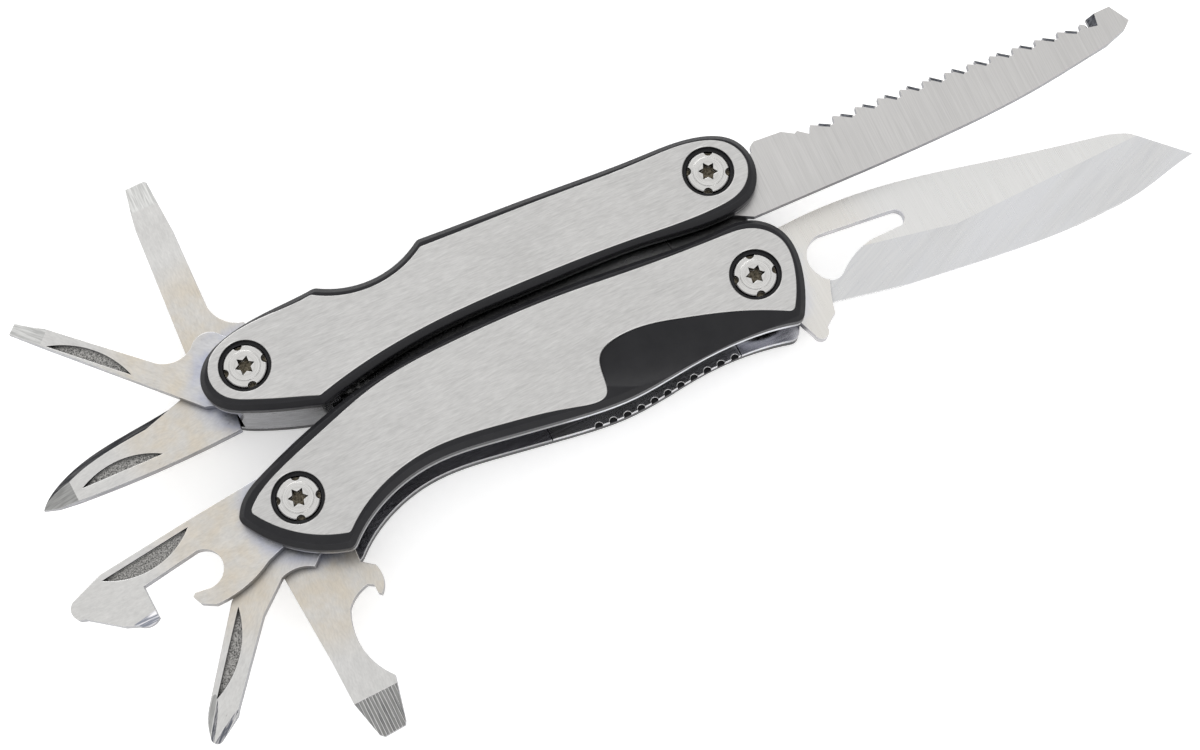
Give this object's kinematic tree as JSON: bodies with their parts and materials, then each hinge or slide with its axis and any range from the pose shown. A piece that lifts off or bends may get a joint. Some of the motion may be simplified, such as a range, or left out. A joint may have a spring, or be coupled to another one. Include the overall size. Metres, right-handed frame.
{
  "type": "pliers multi tool",
  "caption": "Folding pliers multi tool lying flat with its head folded between two plated handles and the knife, saw, drivers and openers fanned out of both ends.",
  "frame": {"origin": "centre of the bounding box at its base, where the back plates rest", "axes": "+X along the midline between the handles towards the knife and saw tips, +Y from the knife handle to the saw handle, +Z out of the front face"},
  "size_m": [0.2124, 0.1092, 0.0166],
  "materials": {
    "scale_black": "black glass-filled nylon, fine grain, satin bevel",
    "plate_steel": "brushed along the handle, polished edge",
    "liner_steel": "ground sheet, bright edges",
    "spring_steel": "polished outer edge",
    "pin_steel": "turned",
    "screw_steel": "turned head, fine rings",
    "blade_steel": "brushed across, ground bevel",
    "saw_steel": "brushed across",
    "tool_steel": "satin with slight heat tint near the tang",
    "jaw_steel": "satin forging, ground sides"
  },
  "bodies": {
    "knife_handle": {"knife_handle_front_scale": "scale_black", "knife_handle_back_scale": "scale_black", "knife_handle_front_plate": "plate_steel", "knife_handle_back_plate": "plate_steel", "knife_handle_front_liner": "liner_steel", "knife_handle_back_liner": "liner_steel", "knife_handle_backspring": "spring_steel", "knife_handle_spring_rivet": "pin_steel", "knife_handle_pivot_barrels": "pin_steel", "knife_handle_spacers": "pin_steel", "knife_handle_screws": "screw_steel"},
    "saw_handle": {"saw_handle_front_scale": "scale_black", "saw_handle_back_scale": "scale_black", "saw_handle_front_plate": "plate_steel", "saw_handle_back_plate": "plate_steel", "saw_handle_front_liner": "liner_steel", "saw_handle_back_liner": "liner_steel", "saw_handle_backspring": "spring_steel", "saw_handle_spring_rivet": "pin_steel", "saw_handle_pivot_barrels": "pin_steel", "saw_handle_spacers": "pin_steel", "saw_handle_screws": "screw_steel"},
    "lock_leaf": {"knife_lock_leaf": "liner_steel"},
    "knife": {"knife_blade": "blade_steel"},
    "can_opener": {"can_opener": "tool_steel"},
    "phillips_driver": {"phillips_driver": "tool_steel"},
    "bottle_opener": {"bottle_opener": "tool_steel"},
    "knife_side_jaw": {"knife_side_jaw": "jaw_steel", "jaw_rivet": "jaw_steel"},
    "saw_side_jaw": {"saw_side_jaw": "jaw_steel"},
    "saw": {"saw_blade": "saw_steel"},
    "small_flat_driver": {"small_flat_driver": "tool_steel"},
    "pointed_blade": {"pointed_blade": "tool_steel"},
    "large_flat_driver": {"large_flat_driver": "tool_steel"}
  },
  "joints": [
    {"name": "knife_pivot", "type": "hinge", "parent": "knife_handle", "child": "knife", "pos_m": [0.0228, -0.0108, 0.0083], "axis": [0, 0, -1], "range_deg": [0, 176]},
    {"name": "can_opener_pivot", "type": "hinge", "parent": "knife_handle", "child": "can_opener", "pos_m": [-0.06397, -0.01307, 0.0083], "axis": [0, 0, 1], "range_deg": [0, 180]},
    {"name": "phillips_pivot", "type": "hinge", "parent": "knife_handle", "child": "phillips_driver", "pos_m": [-0.06397, -0.01307, 0.0083], "axis": [0, 0, 1], "range_deg": [0, 136]},
    {"name": "bottle_opener_pivot", "type": "hinge", "parent": "knife_handle", "child": "bottle_opener", "pos_m": [-0.06397, -0.01307, 0.0083], "axis": [0, 0, 1], "range_deg": [0, 94]},
    {"name": "lock_leaf_flex", "type": "hinge", "parent": "knife_handle", "child": "lock_leaf", "pos_m": [-0.02008, -0.01592, 0.0032], "axis": [-0.0262, 0.9997, 0], "range_deg": [-2.5, 0]},
    {"name": "knife_handle_pivot", "type": "hinge", "parent": "knife_handle", "child": "knife_side_jaw", "pos_m": [0.0228, -0.0108, 0.0083], "axis": [0, 0, -1], "range_deg": [0, 30]},
    {"name": "jaw_pivot", "type": "hinge", "parent": "knife_side_jaw", "child": "saw_side_jaw", "pos_m": [0.0053, 0.0006, 0.0083], "axis": [0, 0, 1], "range_deg": [0, 1.5]},
    {"name": "saw_handle_pivot", "type": "hinge", "parent": "saw_side_jaw", "child": "saw_handle", "pos_m": [0.0237, 0.0096, 0.0083], "axis": [0, 0, -1], "range_deg": [0, 40]},
    {"name": "saw_pivot", "type": "hinge", "parent": "saw_handle", "child": "saw", "pos_m": [0.0237, 0.0096, 0.0083], "axis": [0, 0, 1], "range_deg": [0, 181]},
    {"name": "small_driver_pivot", "type": "hinge", "parent": "saw_handle", "child": "small_flat_driver", "pos_m": [-0.06307, 0.01187, 0.0083], "axis": [0, 0, -1], "range_deg": [0, 147]},
    {"name": "pointed_blade_pivot", "type": "hinge", "parent": "saw_handle", "child": "pointed_blade", "pos_m": [-0.06307, 0.01187, 0.0083], "axis": [0, 0, -1], "range_deg": [0, 180]},
    {"name": "large_driver_pivot", "type": "hinge", "parent": "saw_handle", "child": "large_flat_driver", "pos_m": [-0.06307, 0.01187, 0.0083], "axis": [0, 0, -1], "range_deg": [0, 93]}
  ]
}
